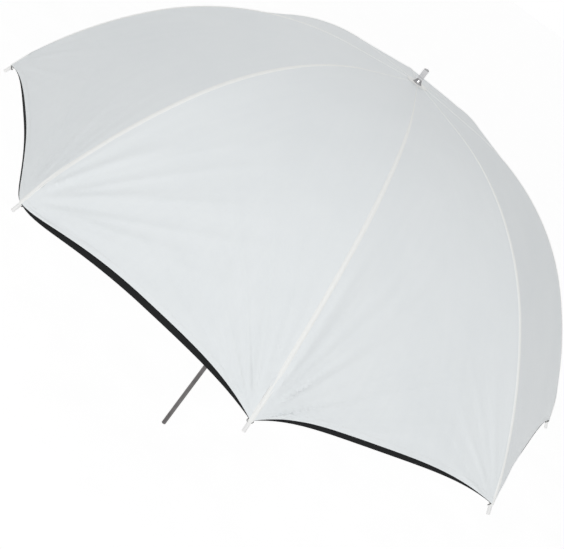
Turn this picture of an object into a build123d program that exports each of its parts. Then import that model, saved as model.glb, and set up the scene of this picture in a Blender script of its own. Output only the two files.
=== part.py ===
from build123d import *
from math import asin, atan2, cos, degrees, hypot, radians, sin
import os

# Umbrella reflector: a fluted-dome photographic umbrella on a round shaft. Millimetres.
# +Z runs up the shaft to the ferrule, the dome opens downward, and the origin is on the
# shaft's axis at its free end. Ribs are numbered from +X, anticlockwise seen from above.

# ---- driving dimensions ------------------------------------------------------------------
RIB_COUNT = 8
CORNER_R = 540.0            # radius of the dome at the fabric's corners
RIM_Z = 417.0               # height of the fabric's corners above the shaft's free end
SPIGOT_R = 4.0              # lower end of the shaft, which goes into a lamp's umbrella hole
SPIGOT_LENGTH = 250.0
SHAFT_R = 3.8               # the tube above the spigot, where the runner slides
SHAFT_INNER_R = 3.2
PLUG_LENGTH = 10.0          # plastic plug just inside the tube's lower end
PLUG_INSET = 0.5
STOP_PIN_R = 1.0
STOP_PIN_LENGTH = 11.0
PRESS_GAP = 0.02            # gap round a pressed-in pin or plug

# The dome's curve along a rib: a straight lead-in, then two tangent arcs.
START_SLOPE = radians(5.5)
LEAD_IN = 117.0
ARC_1_R = 455.0
ARC_1_END_SLOPE = radians(44.5)
ARC_2_R = 752.0

CANOPY_T = 0.6              # thickness of the outer white layer's solid
LINER_T = 0.6               # thickness of the black and silver inner layer's solid
LAYER_GAP = 0.4             # air between the two layers
CANOPY_HEM_SAG = 27.0       # how far the white hem curves up between two corners
LINER_HEM_SAG = 16.0        # the same for the inner layer's hem, which hangs lower
PANEL_GAP = 0.6             # slit between two neighbouring panels, at mid-gore
LEVEL_COUNT = 13            # flat bands along one panel
HEM_STEPS = 5               # straight stretches along half a hem
HEM_CLEARANCE = 4.0         # last flat band ends this far above the hem's highest point

ROD_R = 1.5                 # rib and stretcher rods
RIB_DEPTH = 4.8             # rib centre line below the canopy's outer face
LUG_DROP = 5.0              # stretcher pivot below the rib's centre line
STRETCHER_JOINT_U = 262.0   # distance along the rib's curve to the stretcher's pivot
PIVOT_U = 9.5               # distance along the curve to the crown's pivot
FOLD_ANGLE = radians(52.0)  # how far a rib turns from open to closed

TAB_T = 1.6                 # flattened ends of ribs and stretchers
EYE_R = 1.9
EYE_HOLE_R = 0.7
WIRE_R = 0.6
TAB_HALF_HEIGHT = 1.3
TAB_OVERLAP = 3.0           # how far the flattened end runs on into the round rod
ROD_START = 7.0             # where the round rod takes over from the flattened end
LUG_HALF_WIDTH = 2.4
SLOT_WIDTH = 2.0

HUB_R = 11.0                # slotted discs of the crown and the runner
HUB_CORE_R = 6.9
BORE_R = 3.85
RUNNER_BORE_R = 3.88
RUNNER_SLEEVE_R = 7.0
RUNNER_SLEEVE_LENGTH = 36.0
RUNNER_GRIP_R = 8.8
RUNNER_GRIP_LENGTH = 5.0
RUNNER_CONE = 3.0           # the sleeve widens to the slotted disc over this height
EDGE_BREAK = 0.8

RIVET_R = 1.0
RIVET_HEAD_R = 1.8
RIVET_HEAD_T = 0.6
RIVET_END_PLAY = 0.15       # between each head and its cheek
FORK_GAP = 0.15
CHEEK_T = 1.0
CHEEK_R = 2.7
CHEEK_HALF_HEIGHT = 2.2
FORK_MOUTH = 5.9            # from the rivet's centre to the bottom of the fork's gap
FORK_ROOT = 2.5             # the fork's solid root runs this far down the rod
HOLE_PLAY = 0.05

TIP_R = 2.7
TIP_BEYOND_CORNER = 16.0
TIP_LENGTH = 26.0
TIP_BORE = 9.0              # depth of the blind hole that the rib's end is pushed into
TIP_BORE_PLAY = 0.15
TIP_END_ROUND = 1.0
TIP_INNER_CHAMFER = 0.7

FERRULE_BASE_R = 7.65
FERRULE_R = 4.6
FERRULE_LENGTH = 26.5
FERRULE_FLARE = 9.5
FERRULE_EDGE = 0.8
FERRULE_ROUND = 2.5         # height of the rounded end

CATCH_AZIMUTH = 22.5        # the catch sits between two ribs
CATCH_LENGTH = 22.0
CATCH_WIDTH = 2.0
CATCH_OUT = 6.0             # radius that the catch's tooth reaches when it is out
CATCH_BACK = 1.0
CATCH_LEAF = 2.9            # outer radius of the leaf's foot
CATCH_FOOT = 2.0
CATCH_TOOTH = 1.5           # height of the tooth's square top
CATCH_SLOT_PLAY = 0.4
KEYWAY_PLAY = 0.8

# ---- the dome's curve --------------------------------------------------------------------
ARC_1_LENGTH = ARC_1_R * (ARC_1_END_SLOPE - START_SLOPE)


def end_slope():
    """Slope at the corner, where the second arc reaches the corner's radius."""
    start_r = LEAD_IN * cos(START_SLOPE) + ARC_1_R * (sin(ARC_1_END_SLOPE) - sin(START_SLOPE))
    return asin(sin(ARC_1_END_SLOPE) + (CORNER_R - start_r) / ARC_2_R)


END_SLOPE = end_slope()
CURVE_LENGTH = LEAD_IN + ARC_1_LENGTH + ARC_2_R * (END_SLOPE - ARC_1_END_SLOPE)
RISE = (
    LEAD_IN * sin(START_SLOPE)
    + ARC_1_R * (cos(START_SLOPE) - cos(ARC_1_END_SLOPE))
    + ARC_2_R * (cos(ARC_1_END_SLOPE) - cos(END_SLOPE))
)
APEX_Z = RIM_Z + RISE


def slope_at(u):
    """Slope of the curve below the horizontal, at the distance u along it."""
    if u <= LEAD_IN:
        return START_SLOPE
    if u <= LEAD_IN + ARC_1_LENGTH:
        return START_SLOPE + (u - LEAD_IN) / ARC_1_R
    return ARC_1_END_SLOPE + (u - LEAD_IN - ARC_1_LENGTH) / ARC_2_R


def dome(u, depth=0.0):
    """Radius and height of the curve at the distance u, moved inward by depth."""
    a = slope_at(u)
    if u <= LEAD_IN:
        r = u * cos(a)
        drop = u * sin(a)
    elif u <= LEAD_IN + ARC_1_LENGTH:
        r = LEAD_IN * cos(START_SLOPE) + ARC_1_R * (sin(a) - sin(START_SLOPE))
        drop = LEAD_IN * sin(START_SLOPE) + ARC_1_R * (cos(START_SLOPE) - cos(a))
    else:
        r = CORNER_R - ARC_2_R * (sin(END_SLOPE) - sin(a))
        drop = RISE - ARC_2_R * (cos(a) - cos(END_SLOPE))
    return r - depth * sin(a), APEX_Z - drop - depth * cos(a)


# ---- pivots of the folding frame, worked out for the rib along +X ------------------------
RING_R, CROWN_Z = dome(PIVOT_U, RIB_DEPTH)
JOINT_R, JOINT_Z = dome(STRETCHER_JOINT_U, RIB_DEPTH + LUG_DROP)
# Crown pivot, stretcher pivot and runner pivot make an isosceles triangle at every angle.
LINK = hypot(JOINT_R - RING_R, CROWN_Z - JOINT_Z)
OPEN_ANGLE = atan2(JOINT_R - RING_R, CROWN_Z - JOINT_Z)
RUNNER_Z = CROWN_Z - 2 * LINK * cos(OPEN_ANGLE)
RUNNER_TRAVEL = 2 * LINK * (cos(OPEN_ANGLE - FOLD_ANGLE) - cos(OPEN_ANGLE))

HUB_BELOW = 4.0             # slotted disc below and above its ring of pivots
CROWN_ABOVE = 1.3
RUNNER_ABOVE = 4.0
CROWN_NECK = 8.0
RUNNER_TOP = RUNNER_Z + RUNNER_ABOVE
RUNNER_BOTTOM = RUNNER_Z - HUB_BELOW - RUNNER_SLEEVE_LENGTH
CATCH_TOP = RUNNER_BOTTOM - 0.6
DISC_R = 13.5               # cloth disc round the shaft, over the crown
DISC_BOTTOM = CROWN_Z + EYE_R + 0.3
DISC_TOP = dome(DISC_R)[1]
FERRULE_Z = DISC_TOP + 0.1
STOP_PIN_Z = RUNNER_TOP + STOP_PIN_R + 0.4


def at_rib(shape, number):
    """Turn a shape made for the rib along +X round to the rib of that number."""
    return Rot(0, 0, (number - 1) * 360.0 / RIB_COUNT) * shape


def y_cylinder(radius, length, x, z):
    """Cylinder centred on y = 0, with its axis along Y."""
    return Pos(x, 0, z) * Rot(90, 0, 0) * Cylinder(radius, length)


def ring(ring_radius, wire_radius, z):
    """Closed wire ring round the shaft."""
    return Pos(0, 0, z) * Torus(ring_radius, wire_radius)


def revolved(points):
    """Solid of revolution about Z from an outline of (radius, z) points."""
    outline = Polyline(*[(r, 0, z) for r, z in points], close=True)
    return revolve(make_face(outline), Axis.Z)


# ---- shaft and what is fixed to it -------------------------------------------------------
def shaft():
    top = FERRULE_Z + FERRULE_FLARE - 0.5
    tube = revolved([
        (SHAFT_INNER_R, 0),
        (SPIGOT_R, 0),
        (SPIGOT_R, SPIGOT_LENGTH),
        (SHAFT_R, SPIGOT_LENGTH),
        (SHAFT_R, top),
        (SHAFT_INNER_R, top),
    ])
    pin_hole = y_cylinder(STOP_PIN_R + PRESS_GAP, 4 * SHAFT_R, 0, STOP_PIN_Z)
    slot_length = CATCH_LENGTH + 2
    slot_width = CATCH_WIDTH + CATCH_SLOT_PLAY
    slot = Pos(SHAFT_R, 0, CATCH_TOP + 1 - slot_length / 2) * Box(SHAFT_R, slot_width, slot_length)
    return tube - Rot(0, 0, CATCH_AZIMUTH) * (pin_hole + slot)


def shaft_plug():
    plug = Pos(0, 0, PLUG_INSET + PLUG_LENGTH / 2) * Cylinder(SHAFT_INNER_R - PRESS_GAP, PLUG_LENGTH)
    return chamfer(plug.edges().group_by(Axis.Z)[0], PLUG_INSET)


def stop_pin():
    return Rot(0, 0, CATCH_AZIMUTH) * y_cylinder(STOP_PIN_R, STOP_PIN_LENGTH, 0, STOP_PIN_Z)


def ferrule():
    top = FERRULE_Z + FERRULE_LENGTH
    skirt_top = FERRULE_Z + FERRULE_FLARE
    round_r = (FERRULE_R**2 + FERRULE_ROUND**2) / (2 * FERRULE_ROUND)
    half_turn = asin(FERRULE_R / round_r) / 2
    middle = (round_r * sin(half_turn), top - round_r * (1 - cos(half_turn)))
    flare_middle = (0.35 * FERRULE_BASE_R + 0.65 * FERRULE_R, FERRULE_Z + 0.45 * FERRULE_FLARE)
    with BuildPart() as turned:
        with BuildSketch(Plane.XZ):
            with BuildLine():
                Line((BORE_R, FERRULE_Z), (FERRULE_BASE_R, FERRULE_Z))
                Line((FERRULE_BASE_R, FERRULE_Z), (FERRULE_BASE_R, FERRULE_Z + FERRULE_EDGE))
                ThreePointArc(
                    (FERRULE_BASE_R, FERRULE_Z + FERRULE_EDGE), flare_middle, (FERRULE_R, skirt_top)
                )
                Line((FERRULE_R, skirt_top), (FERRULE_R, top - FERRULE_ROUND))
                ThreePointArc((FERRULE_R, top - FERRULE_ROUND), middle, (0, top))
                Line((0, top), (0, skirt_top))
                Line((0, skirt_top), (BORE_R, skirt_top))
                Line((BORE_R, skirt_top), (BORE_R, FERRULE_Z))
            make_face()
        revolve(axis=Axis.Z)
    return turned.part


def top_disc():
    height = DISC_TOP - DISC_BOTTOM
    disc = Pos(0, 0, DISC_BOTTOM + height / 2) * Cylinder(DISC_R, height)
    return disc - Pos(0, 0, DISC_BOTTOM + height / 2) * Cylinder(SHAFT_R + 0.1, height)


# ---- crown and runner --------------------------------------------------------------------
def hub_cuts(pivot_z, bottom, top):
    """Radial slots for the flattened ends, and the groove for the ring of wire."""
    length = HUB_R + 2 - HUB_CORE_R
    cuts = []
    for number in range(1, RIB_COUNT + 1):
        slot = Pos(HUB_CORE_R + length / 2, 0, (bottom + top) / 2) * Box(length, SLOT_WIDTH, top - bottom)
        cuts.append(at_rib(slot, number))
    groove_height = 2 * (WIRE_R + HOLE_PLAY)
    groove = Cylinder(HUB_R + 1, groove_height) - Cylinder(RING_R - WIRE_R - HOLE_PLAY, groove_height)
    cuts.append(Pos(0, 0, pivot_z) * groove)
    return cuts


def crown():
    neck_bottom = CROWN_Z - HUB_BELOW - CROWN_NECK
    body = revolved([
        (BORE_R, neck_bottom),
        (HUB_CORE_R, neck_bottom),
        (HUB_CORE_R, CROWN_Z - HUB_BELOW),
        (HUB_R, CROWN_Z - HUB_BELOW),
        (HUB_R, CROWN_Z + CROWN_ABOVE),
        (BORE_R, CROWN_Z + CROWN_ABOVE),
    ])
    for cut in hub_cuts(CROWN_Z, CROWN_Z - HUB_BELOW - 1, CROWN_Z + CROWN_ABOVE + 1):
        body -= cut
    return body


def runner():
    grip_top = RUNNER_BOTTOM + RUNNER_GRIP_LENGTH
    cone_bottom = RUNNER_Z - HUB_BELOW - RUNNER_CONE
    body = revolved([
        (RUNNER_BORE_R, RUNNER_BOTTOM),
        (RUNNER_GRIP_R - EDGE_BREAK, RUNNER_BOTTOM),
        (RUNNER_GRIP_R, RUNNER_BOTTOM + EDGE_BREAK),
        (RUNNER_GRIP_R, grip_top),
        (RUNNER_SLEEVE_R, grip_top + RUNNER_GRIP_R - RUNNER_SLEEVE_R),
        (RUNNER_SLEEVE_R, cone_bottom),
        (HUB_R, RUNNER_Z - HUB_BELOW),
        (HUB_R, RUNNER_TOP),
        (RUNNER_BORE_R, RUNNER_TOP),
    ])
    for cut in hub_cuts(RUNNER_Z, RUNNER_Z - EYE_R - 0.4, RUNNER_TOP + 1):
        body -= cut
    # The keyway lets the sleeve pass over the catch's tooth.
    height = RUNNER_TOP - RUNNER_BOTTOM + 2
    depth = CATCH_OUT + 0.4
    width = CATCH_WIDTH + KEYWAY_PLAY
    keyway = Pos(depth / 2, 0, (RUNNER_TOP + RUNNER_BOTTOM) / 2) * Box(depth, width, height)
    return body - Rot(0, 0, CATCH_AZIMUTH) * keyway


def catch_spring():
    bottom = CATCH_TOP - CATCH_LENGTH
    outline = Polyline(
        (CATCH_BACK, 0, bottom),
        (CATCH_LEAF, 0, bottom),
        (CATCH_LEAF, 0, bottom + CATCH_FOOT),
        (CATCH_OUT, 0, CATCH_TOP - CATCH_TOOTH),
        (CATCH_OUT, 0, CATCH_TOP),
        (CATCH_BACK, 0, CATCH_TOP),
        close=True,
    )
    plate = extrude(make_face(outline), CATCH_WIDTH / 2, both=True)
    return Rot(0, 0, CATCH_AZIMUTH) * plate


# ---- ribs and stretchers -----------------------------------------------------------------
def point(u, depth):
    r, z = dome(u, depth)
    return Vector(r, 0, z)


def rod_along(path, start, direction):
    return sweep(Plane(origin=start, z_dir=direction) * Circle(ROD_R), path=path)


def bar(x0, z0, x1, z1, half_height, thickness):
    """Flat bar in the rib's plane from one point to another."""
    length = hypot(x1 - x0, z1 - z0)
    tilt = degrees(atan2(z0 - z1, x1 - x0))
    return Pos((x0 + x1) / 2, 0, (z0 + z1) / 2) * Rot(0, tilt, 0) * Box(length, thickness, 2 * half_height)


def rib():
    rod_u = PIVOT_U + ROD_START
    arc_1_end = LEAD_IN + ARC_1_LENGTH
    end_u = CURVE_LENGTH + TIP_BEYOND_CORNER - TIP_LENGTH + TIP_BORE - 0.5
    start = point(rod_u, RIB_DEPTH)
    path = (
        Line(start, point(LEAD_IN, RIB_DEPTH))
        + ThreePointArc(
            point(LEAD_IN, RIB_DEPTH),
            point(LEAD_IN + ARC_1_LENGTH / 2, RIB_DEPTH),
            point(arc_1_end, RIB_DEPTH),
        )
        + ThreePointArc(
            point(arc_1_end, RIB_DEPTH),
            point((arc_1_end + end_u) / 2, RIB_DEPTH),
            point(end_u, RIB_DEPTH),
        )
    )
    body = rod_along(path, start, Vector(cos(START_SLOPE), 0, -sin(START_SLOPE)))
    flat_end = point(rod_u + TAB_OVERLAP, RIB_DEPTH)
    body += bar(RING_R, CROWN_Z, flat_end.X, flat_end.Z, TAB_HALF_HEIGHT, TAB_T)
    body += y_cylinder(EYE_R, TAB_T, RING_R, CROWN_Z)
    # The lug that carries the stretcher hangs below the rod.
    on_rod = point(STRETCHER_JOINT_U, RIB_DEPTH)
    body += bar(on_rod.X, on_rod.Z, JOINT_R, JOINT_Z, LUG_HALF_WIDTH, TAB_T)
    body += y_cylinder(LUG_HALF_WIDTH, TAB_T, JOINT_R, JOINT_Z)
    body -= y_cylinder(EYE_HOLE_R, 3 * TAB_T, RING_R, CROWN_Z)
    return body - y_cylinder(RIVET_R + PRESS_GAP, 3 * TAB_T, JOINT_R, JOINT_Z)


def rib_tip():
    inner_u = CURVE_LENGTH + TIP_BEYOND_CORNER - TIP_LENGTH
    inner = point(inner_u, RIB_DEPTH)
    a = slope_at(inner_u)
    from_inner_end = (Align.CENTER, Align.CENTER, Align.MIN)
    cap = Cylinder(TIP_R, TIP_LENGTH, align=from_inner_end)
    cap = fillet(cap.edges().group_by(Axis.Z)[-1], TIP_END_ROUND)
    cap = chamfer(cap.edges().group_by(Axis.Z)[0], TIP_INNER_CHAMFER)
    cap -= Cylinder(ROD_R + TIP_BORE_PLAY, TIP_BORE, align=from_inner_end)
    return Plane(origin=inner, z_dir=Vector(cos(a), 0, -sin(a))) * cap


def stretcher():
    direction = Vector(JOINT_R - RING_R, 0, JOINT_Z - RUNNER_Z).normalized()
    runner_pivot = Vector(RING_R, 0, RUNNER_Z)
    joint = Vector(JOINT_R, 0, JOINT_Z)
    start = runner_pivot + direction * ROD_START
    stop = joint - direction * ROD_START
    body = rod_along(Line(start, stop), start, direction)
    flat_end = start + direction * TAB_OVERLAP
    body += bar(RING_R, RUNNER_Z, flat_end.X, flat_end.Z, TAB_HALF_HEIGHT, TAB_T)
    body += y_cylinder(EYE_R, TAB_T, RING_R, RUNNER_Z)
    body -= y_cylinder(EYE_HOLE_R, 3 * TAB_T, RING_R, RUNNER_Z)
    # A fork straddles the rib's lug.
    gap = TAB_T + 2 * FORK_GAP
    width = gap + 2 * CHEEK_T
    root = stop - direction * FORK_ROOT
    fork = bar(root.X, root.Z, JOINT_R, JOINT_Z, CHEEK_HALF_HEIGHT, width)
    fork += y_cylinder(CHEEK_R, width, JOINT_R, JOINT_Z)
    gap_start = joint - direction * FORK_MOUTH
    gap_end = joint + direction * FORK_MOUTH
    fork -= bar(gap_start.X, gap_start.Z, gap_end.X, gap_end.Z, CHEEK_R + 1, gap)
    fork -= y_cylinder(RIVET_R + HOLE_PLAY, 2 * width, JOINT_R, JOINT_Z)
    return body + fork


def rivet():
    grip = TAB_T + 2 * FORK_GAP + 2 * CHEEK_T + 2 * RIVET_END_PLAY
    body = y_cylinder(RIVET_R, grip + 2 * RIVET_HEAD_T, JOINT_R, JOINT_Z)
    for side in (-1, 1):
        head = y_cylinder(RIVET_HEAD_R, RIVET_HEAD_T, JOINT_R, JOINT_Z)
        body += Pos(0, side * (grip + RIVET_HEAD_T) / 2, 0) * head
    return body


# ---- the two layers of cloth -------------------------------------------------------------
def panel(outer_depth, thickness, hem_sag):
    """Closed shell of one panel: it straddles a rib and ends half-way to the next ones."""
    half = radians(180.0 / RIB_COUNT)
    top_u = (DISC_R + 1.0) / cos(half)
    last_u = CURVE_LENGTH - hem_sag - HEM_CLEARANCE
    step = (last_u - top_u) / (LEVEL_COUNT - 1)
    levels = [top_u + i * step for i in range(LEVEL_COUNT)]

    def across(r, z, share, side):
        """Point on the chord from this rib to the next, at a share of the way to its middle."""
        reach = share * (r * sin(half) - PANEL_GAP / 2)
        return Vector(r - reach * sin(half), side * reach * cos(half), z)

    def hem_point(depth, share, side):
        sag = hem_sag * (1 - (1 - share) ** 2)
        mix = (CURVE_LENGTH - sag - last_u) / (CURVE_LENGTH - last_u)
        r0, z0 = dome(last_u, depth)
        r1, z1 = dome(CURVE_LENGTH, depth)
        return across(r0 + mix * (r1 - r0), z0 + mix * (z1 - z0), share, side)

    depths = (outer_depth, outer_depth + thickness)
    shares = [i / HEM_STEPS for i in range(HEM_STEPS + 1)]
    polygons = []
    for side in (-1, 1):
        edges = []
        for depth in depths:
            rows = [dome(u, depth) for u in levels]
            for (r0, z0), (r1, z1) in zip(rows, rows[1:]):
                polygons.append([across(r0, z0, s, side) for s in (0, 1)]
                                + [across(r1, z1, s, side) for s in (1, 0)])
            hem = [hem_point(depth, share, side) for share in shares]
            last = [across(*rows[-1], s, side) for s in (1, 0)]
            polygons.append(hem + last)
            edges.append(([across(r, z, 1, side) for r, z in rows], hem, rows[0]))
        (mid_out, hem_out, top_out), (mid_in, hem_in, top_in) = edges
        polygons.append(mid_out + [hem_out[-1], hem_in[-1]] + mid_in[::-1])
        polygons.append([across(*top_out, 0, side), across(*top_out, 1, side),
                         across(*top_in, 1, side), across(*top_in, 0, side)])
        for i in range(HEM_STEPS):
            polygons.append([hem_out[i], hem_out[i + 1], hem_in[i + 1]])
            polygons.append([hem_out[i], hem_in[i + 1], hem_in[i]])
    faces = [Face(Wire.make_polygon(corners, close=True)) for corners in polygons]
    solid = Solid(Shell(faces))
    return solid if solid.volume > 0 else -solid


# ---- write every node --------------------------------------------------------------------
def main():
    os.makedirs("parts", exist_ok=True)
    nodes = {
        "shaft": shaft(),
        "shaft_plug": shaft_plug(),
        "stop_pin": stop_pin(),
        "ferrule": ferrule(),
        "top_disc": top_disc(),
        "crown": crown(),
        "crown_wire": ring(RING_R, WIRE_R, CROWN_Z),
        "runner": runner(),
        "runner_wire": ring(RING_R, WIRE_R, RUNNER_Z),
        "catch_spring": catch_spring(),
    }
    liner_depth = CANOPY_T + LAYER_GAP
    repeated = {
        "rib": rib(),
        "rib_tip": rib_tip(),
        "stretcher": stretcher(),
        "rivet": rivet(),
        "canopy_panel": panel(0.0, CANOPY_T, CANOPY_HEM_SAG),
        "liner_panel": panel(liner_depth, LINER_T, LINER_HEM_SAG),
    }
    for name, shape in repeated.items():
        for number in range(1, RIB_COUNT + 1):
            nodes[f"{name}_{number}"] = at_rib(shape, number)
    for name, shape in nodes.items():
        export_step(shape, f"parts/{name}.step")
    for name, value in (
        ("apex_z", APEX_Z), ("ring_r", RING_R), ("crown_z", CROWN_Z), ("joint_r", JOINT_R),
        ("joint_z", JOINT_Z), ("runner_z", RUNNER_Z), ("travel", RUNNER_TRAVEL),
        ("curve_length", CURVE_LENGTH), ("end_slope", degrees(END_SLOPE)), ("catch_top", CATCH_TOP),
        ("ferrule_z", FERRULE_Z), ("link", LINK), ("runner_bottom", RUNNER_BOTTOM),
    ):
        print(name, round(value, 4))


main()
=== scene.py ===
import bpy
import math
import numpy as np
from mathutils import Matrix, Vector


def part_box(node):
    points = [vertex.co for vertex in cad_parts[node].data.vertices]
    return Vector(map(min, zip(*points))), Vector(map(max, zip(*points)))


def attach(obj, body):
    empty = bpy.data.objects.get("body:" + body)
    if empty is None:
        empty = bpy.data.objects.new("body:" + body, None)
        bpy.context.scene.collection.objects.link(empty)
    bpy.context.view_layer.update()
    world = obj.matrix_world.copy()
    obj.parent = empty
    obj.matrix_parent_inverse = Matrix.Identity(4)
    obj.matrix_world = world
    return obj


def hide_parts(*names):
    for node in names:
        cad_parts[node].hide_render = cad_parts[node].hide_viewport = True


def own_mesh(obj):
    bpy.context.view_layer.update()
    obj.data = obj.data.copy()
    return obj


# Umbrella reflector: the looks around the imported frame. Metres, in the row's own frame:
# +Z runs up the shaft to the ferrule, and rib 1 is along +X, numbered anticlockwise from above.

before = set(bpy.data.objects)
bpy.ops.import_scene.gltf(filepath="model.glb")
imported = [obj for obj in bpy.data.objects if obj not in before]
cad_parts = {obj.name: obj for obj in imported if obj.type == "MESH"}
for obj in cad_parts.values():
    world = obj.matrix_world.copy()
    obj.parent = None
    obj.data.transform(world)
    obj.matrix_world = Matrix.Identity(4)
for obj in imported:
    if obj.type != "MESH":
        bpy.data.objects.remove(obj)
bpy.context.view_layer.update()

# ---- the dome, as the CAD model has it ------------------------------------------------------
RIB_COUNT = 8
HALF_GORE = math.pi / RIB_COUNT
CORNER_R = 0.540            # radius at the cloth's corners
RIM_Z = 0.417
START_SLOPE = math.radians(5.5)
LEAD_IN = 0.117
ARC_1_R = 0.455
ARC_1_END_SLOPE = math.radians(44.5)
ARC_2_R = 0.752
RIB_DEPTH = 0.0048          # rib centre line below the outer face of the cloth
ROD_R = 0.0015
TIP_R = 0.0027
PIVOT_U = 0.0095            # where a rib turns in the crown

ARC_1_LENGTH = ARC_1_R * (ARC_1_END_SLOPE - START_SLOPE)
ARC_1_REACH = ARC_1_R * (math.sin(ARC_1_END_SLOPE) - math.sin(START_SLOPE))
ARC_2_START_R = LEAD_IN * math.cos(START_SLOPE) + ARC_1_REACH
END_SLOPE = math.asin(math.sin(ARC_1_END_SLOPE) + (CORNER_R - ARC_2_START_R) / ARC_2_R)
CURVE_LENGTH = LEAD_IN + ARC_1_LENGTH + ARC_2_R * (END_SLOPE - ARC_1_END_SLOPE)
LEAD_IN_DROP = LEAD_IN * math.sin(START_SLOPE)
ARC_1_DROP = ARC_1_R * (math.cos(START_SLOPE) - math.cos(ARC_1_END_SLOPE))
ARC_2_DROP = ARC_2_R * (math.cos(ARC_1_END_SLOPE) - math.cos(END_SLOPE))
RISE = LEAD_IN_DROP + ARC_1_DROP + ARC_2_DROP
APEX_Z = RIM_Z + RISE

# ---- the cloth ------------------------------------------------------------------------------
CLOTH_T = 0.00012           # thickness of one layer of cloth
LINER_DEPTH = 0.0011        # outer face of the inner layer, below the white one's
CLOTH_TOP_U = 0.0125        # where the gores' top ends go under the cap
RIDGE_ROUND = 0.0012        # the cloth is rounded this much where it passes over a rib
LAP = 0.0015                # how far one half-gore runs on under its neighbour at mid-gore
DIP = 0.00016               # how far it goes under
DIP_WIDTH = 0.020
KEEP = 0.26                 # share of its width that a folded half-gore keeps
FOLD_ANGLE = math.radians(52)
WING_MARGIN = 1.05          # the wings reach a little past where they meet
WING_LIMIT = 2.9            # a wing may run on under the next rib's seam, near the top

# Height of the wrinkles that fan out from a rib's tip into a gore, by (gore, rib).
TIP_WRINKLE = {(5, 6): 0.0022, (6, 6): 0.0034, (6, 7): 0.0032, (7, 7): 0.0046}
TIP_WRINKLE_USUAL = 0.0014
WRINKLE_REACH = {6: 0.20, 7: 0.24}
WRINKLE_REACH_USUAL = 0.15
LAYER_WRINKLE = {"canopy": 1.0, "liner": 0.08}     # the inner layer lies flatter
SLACK = 0.0015              # height of the broad soft waves across a gore

# Each gore's hems: how far the hem stands above the corners at mid-gore, how full its arch is beside
# the gore's first rib and beside its next, and how far it hangs out beside each.
GORE_HEMS = {
    (5, "canopy"): (0.0210, (3.6, 2.0), (0.0, 0.0050)),
    (5, "liner"): (0.0155, (5.0, 2.0), (0.0, 0.0065)),
    (6, "canopy"): (0.0207, (2.0, 3.8), (0.0050, 0.0)),
    (6, "liner"): (0.0116, (1.7, 4.0), (0.0070, 0.0)),
    (7, "canopy"): (0.0250, (4.6, 2.8), (0.0, 0.0)),
    (7, "liner"): (0.0175, (5.0, 3.6), (0.0, 0.0)),
    (8, "canopy"): (0.0350, (3.4, 2.5), (0.0, 0.0)),
    (8, "liner"): (0.0290, (3.4, 2.5), (0.0, 0.0)),
}
USUAL_HEMS = {
    "canopy": (0.0240, (2.8, 2.8), (0.0, 0.0)),
    "liner": (0.0158, (2.8, 2.8), (0.0, 0.0)),
}
FALL_PLACE = 0.2            # a hem hangs out most this far from its rib, as a share of the half-gore

CORNER_DROP = 0.0009        # the cloth's corner is drawn down onto the tip cap
CORNER_DROP_LENGTH = 0.035

SEAM_WIDTH = 0.0074         # the seam's turned-in edges, away from the top
SEAM_WIDTH_AT_TOP = 0.0016
SEAM_LIFT = 0.00045
SEAM_STITCH = 0.62          # place of the two rows of stitches, as a share of the seam's half-width
HEM_WIDTH = 0.0085
STITCH_LENGTH = 0.0032
STITCH_STEP = 0.0042
THREAD_R = 0.00018


def smooth(x):
    """Rises gently from 0 to 1 as x does."""
    x = np.clip(x, 0.0, 1.0)
    return x * x * (3 - 2 * x)


def slope_at(u):
    """Slope of the dome's curve below the horizontal, at the distance u along it."""
    on_arc_1 = START_SLOPE + (u - LEAD_IN) / ARC_1_R
    on_arc_2 = ARC_1_END_SLOPE + (u - LEAD_IN - ARC_1_LENGTH) / ARC_2_R
    on_arcs = np.where(u <= LEAD_IN + ARC_1_LENGTH, on_arc_1, on_arc_2)
    return np.where(u <= LEAD_IN, START_SLOPE, on_arcs)


def dome(u, depth=0.0):
    """Radius and height of the dome's curve at the distance u, moved inward by depth."""
    a = slope_at(u)
    on_lead_in = u <= LEAD_IN
    on_arc_1 = u <= LEAD_IN + ARC_1_LENGTH
    r_1 = LEAD_IN * math.cos(START_SLOPE) + ARC_1_R * (np.sin(a) - math.sin(START_SLOPE))
    r_2 = CORNER_R - ARC_2_R * (math.sin(END_SLOPE) - np.sin(a))
    drop_1 = LEAD_IN_DROP + ARC_1_R * (math.cos(START_SLOPE) - np.cos(a))
    drop_2 = RISE - ARC_2_R * (np.cos(a) - math.cos(END_SLOPE))
    r = np.where(on_lead_in, u * math.cos(START_SLOPE), np.where(on_arc_1, r_1, r_2))
    drop = np.where(on_lead_in, u * math.sin(START_SLOPE), np.where(on_arc_1, drop_1, drop_2))
    return r - depth * np.sin(a), APEX_Z - drop - depth * np.cos(a)


def half_chord(u):
    """Half the straight distance from one rib to the next, at the distance u."""
    return dome(u)[0] * math.sin(HALF_GORE)


def rib_azimuth(number):
    return (number - 1) * 2 * HALF_GORE


def turned(points, azimuth):
    """Points made for the rib along +X, turned about Z."""
    c, s = np.cos(azimuth), np.sin(azimuth)
    x, y = points[..., 0], points[..., 1]
    return np.stack([c * x - s * y, s * x + c * y, points[..., 2]], axis=-1)


def cloth_point(u, share, depth):
    """Point of the cloth in its rib's own frame. share is 0 on the rib, 1 at mid-gore, 2 on the next rib."""
    far = np.abs(share) > 2
    side = np.where(share < 0, -1, 1)
    own = band_point(u, np.where(far, side * 2, share), depth)
    if not far.any():
        return own
    next_band = turned(band_point(u, share - 2 * side, depth), side * 2 * HALF_GORE)
    return np.where(far[..., None], next_band, own)


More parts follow.
